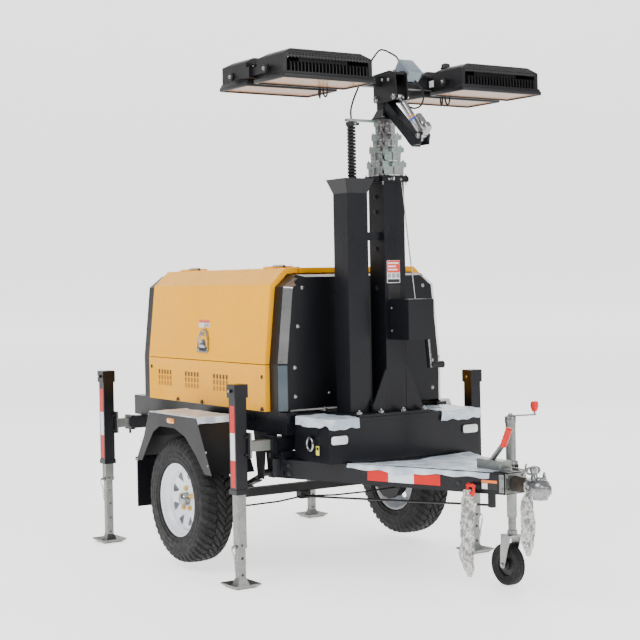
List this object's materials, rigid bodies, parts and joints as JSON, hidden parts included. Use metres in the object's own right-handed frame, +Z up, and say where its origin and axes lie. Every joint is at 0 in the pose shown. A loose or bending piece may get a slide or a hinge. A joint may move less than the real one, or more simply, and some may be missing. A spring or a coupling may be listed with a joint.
{
  "type": "mobile light tower",
  "caption": "Towable lighting tower: a canopied generator trailer on two wheels with sliding outriggers, a telescopic mast and a tilting bar of floodlights.",
  "frame": {"origin": "middle of the plan of the whole tower, on the ground under the four foot pads", "axes": "+X towards the drawbar and its coupling, +Y to the trailer's left side, +Z up"},
  "size_m": [3.024, 1.601, 2.6265],
  "materials": {
    "rubber_tyre": "moulded tread, matt",
    "white_rim": "gloss white",
    "black_plastic": "textured moulding",
    "yellow_paint": "gloss powder coat",
    "galvanised": "zinc plated",
    "black_paint": "satin powder coat",
    "engine_grey": "matt",
    "axle_metal": "dark, rough",
    "cast_metal": "zinc plated casting",
    "rubber_black": "matt",
    "lamp_black": "satin",
    "actuator_silver": "satin",
    "grey_box": "smooth",
    "clear_wrap": "thin film"
  },
  "bodies": {
    "root": {"fender_right": "black_plastic", "side_panel_right": "yellow_paint", "fender_left": "black_plastic", "side_panel_left": "yellow_paint", "roof_panel": "yellow_paint", "end_cap_front": "black_plastic", "end_cap_rear": "black_plastic", "winch": "black_plastic", "engine": "engine_grey", "chassis": "black_paint", "front_box": "black_paint", "mast_base": "black_paint", "mast_outer": "black_paint", "cable_duct": "black_paint", "drawbar": "black_paint", "handbrake": "black_paint", "jockey_tube": "galvanised", "axle": "axle_metal", "brake_linkage": "axle_metal", "winch_cable": "axle_metal", "coupling": "cast_metal", "curly_cord": "rubber_black", "safety_chain_right": "clear_wrap", "safety_chain_left": "clear_wrap"},
    "wheel_right": {"tyre_right": "rubber_tyre", "rim_right": "white_rim"},
    "wheel_left": {"tyre_left": "rubber_tyre", "rim_left": "white_rim"},
    "outrigger_front_right": {"outrigger_arm_front_right": "galvanised", "jack_tube_front_right": "black_paint"},
    "leg_front_right": {"jack_leg_front_right": "galvanised"},
    "outrigger_front_left": {"outrigger_arm_front_left": "galvanised", "jack_tube_front_left": "black_paint"},
    "leg_front_left": {"jack_leg_front_left": "galvanised"},
    "outrigger_rear_right": {"outrigger_arm_rear_right": "galvanised", "jack_tube_rear_right": "black_paint"},
    "leg_rear_right": {"jack_leg_rear_right": "galvanised"},
    "outrigger_rear_left": {"outrigger_arm_rear_left": "galvanised", "jack_tube_rear_left": "black_paint"},
    "leg_rear_left": {"jack_leg_rear_left": "galvanised"},
    "door_right": {"door_right": "yellow_paint"},
    "door_left": {"door_left": "yellow_paint"},
    "jockey_leg": {"jockey_leg": "galvanised"},
    "jockey_fork": {"jockey_fork": "galvanised"},
    "jockey_wheel": {"jockey_wheel": "rubber_black"},
    "mast_1": {"mast_section_1": "galvanised"},
    "mast_2": {"mast_section_2": "galvanised"},
    "mast_3": {"mast_section_3": "galvanised"},
    "mast_4": {"mast_section_4": "galvanised", "head_post": "black_paint", "head_cable": "rubber_black"},
    "head": {"crossbar": "black_paint", "floodlight_1": "lamp_black", "floodlight_2": "lamp_black", "floodlight_3": "lamp_black", "floodlight_4": "lamp_black", "junction_box": "grey_box"},
    "actuator": {"actuator_body": "actuator_silver"},
    "actuator_rod": {"actuator_rod": "actuator_silver"}
  },
  "joints": [
    {"name": "wheel_right_spin", "type": "hinge", "parent": "root", "child": "wheel_right", "pos_m": [-0.451, -0.685, 0.36], "axis": [0, 1, 0], "continuous": true},
    {"name": "wheel_left_spin", "type": "hinge", "parent": "root", "child": "wheel_left", "pos_m": [-0.451, 0.685, 0.36], "axis": [0, 1, 0], "continuous": true},
    {"name": "outrigger_front_right_slide", "type": "slide", "parent": "root", "child": "outrigger_front_right", "axis": [0, -1, 0], "range_m": [-0.1093, 0.3]},
    {"name": "leg_front_right_slide", "type": "slide", "parent": "outrigger_front_right", "child": "leg_front_right", "axis": [0, 0, 1], "range_m": [-0.098, 0.235]},
    {"name": "outrigger_front_left_slide", "type": "slide", "parent": "root", "child": "outrigger_front_left", "axis": [0, 1, 0], "range_m": [-0.1093, 0.3]},
    {"name": "leg_front_left_slide", "type": "slide", "parent": "outrigger_front_left", "child": "leg_front_left", "axis": [0, 0, 1], "range_m": [-0.098, 0.235]},
    {"name": "outrigger_rear_right_slide", "type": "slide", "parent": "root", "child": "outrigger_rear_right", "axis": [0, -1, 0], "range_m": [-0.0743, 0.3]},
    {"name": "leg_rear_right_slide", "type": "slide", "parent": "outrigger_rear_right", "child": "leg_rear_right", "axis": [0, 0, 1], "range_m": [-0.25, 0.073]},
    {"name": "outrigger_rear_left_slide", "type": "slide", "parent": "root", "child": "outrigger_rear_left", "axis": [0, 1, 0], "range_m": [-0.0743, 0.3]},
    {"name": "leg_rear_left_slide", "type": "slide", "parent": "outrigger_rear_left", "child": "leg_rear_left", "axis": [0, 0, 1], "range_m": [-0.25, 0.073]},
    {"name": "door_right_hinge", "type": "hinge", "parent": "root", "child": "door_right", "pos_m": [-0.451, -0.33, 1.548], "axis": [-1, 0, 0], "range_deg": [0, 80]},
    {"name": "door_left_hinge", "type": "hinge", "parent": "root", "child": "door_left", "pos_m": [-0.451, 0.33, 1.548], "axis": [1, 0, 0], "range_deg": [0, 80]},
    {"name": "jockey_leg_slide", "type": "slide", "parent": "root", "child": "jockey_leg", "axis": [0, 0, -1], "range_m": [0, 0.2]},
    {"name": "jockey_swivel", "type": "hinge", "parent": "jockey_leg", "child": "jockey_fork", "pos_m": [0.909, 0.312, 0.2474], "axis": [0, 0, 1], "continuous": true},
    {"name": "jockey_wheel_spin", "type": "hinge", "parent": "jockey_fork", "child": "jockey_wheel", "pos_m": [0.874, 0.312, 0.1], "axis": [0, 1, 0], "continuous": true},
    {"name": "mast_raise", "type": "slide", "parent": "root", "child": "mast_4", "axis": [0, 0, 1], "range_m": [0, 3.6], "deforming": ["curly_cord"]},
    {"name": "mast_1_slide", "type": "slide", "parent": "root", "child": "mast_1", "axis": [0, 0, 1], "range_m": [0, 0.901]},
    {"name": "mast_2_slide", "type": "slide", "parent": "root", "child": "mast_2", "axis": [0, 0, 1], "range_m": [0, 1.801]},
    {"name": "mast_3_slide", "type": "slide", "parent": "root", "child": "mast_3", "axis": [0, 0, 1], "range_m": [0, 2.701]},
    {"name": "head_tilt", "type": "hinge", "parent": "mast_4", "child": "head", "pos_m": [0.349, 0, 2.362], "axis": [0, -1, 0], "range_deg": [0, 90], "deforming": ["head_cable"]},
    {"name": "actuator_pivot", "type": "hinge", "parent": "mast_4", "child": "actuator", "pos_m": [0.674, 0, 2.155], "axis": [0, -1, 0], "range_deg": [0, 3]},
    {"name": "actuator_extend", "type": "slide", "parent": "actuator", "child": "actuator_rod", "axis": [-0.6562, 0, 0.7546], "range_m": [0, 0.21]}
  ],
  "couplings": [
    {"joint": "mast_1_slide", "follows": "mast_raise", "ratio": 0.25},
    {"joint": "mast_2_slide", "follows": "mast_raise", "ratio": 0.5},
    {"joint": "mast_3_slide", "follows": "mast_raise", "ratio": 0.75},
    {"joint": "actuator_pivot", "follows": "head_tilt", "ratio": 0.0188},
    {"joint": "actuator_extend", "follows": "head_tilt", "m_per_rad": 0.1303}
  ]
}
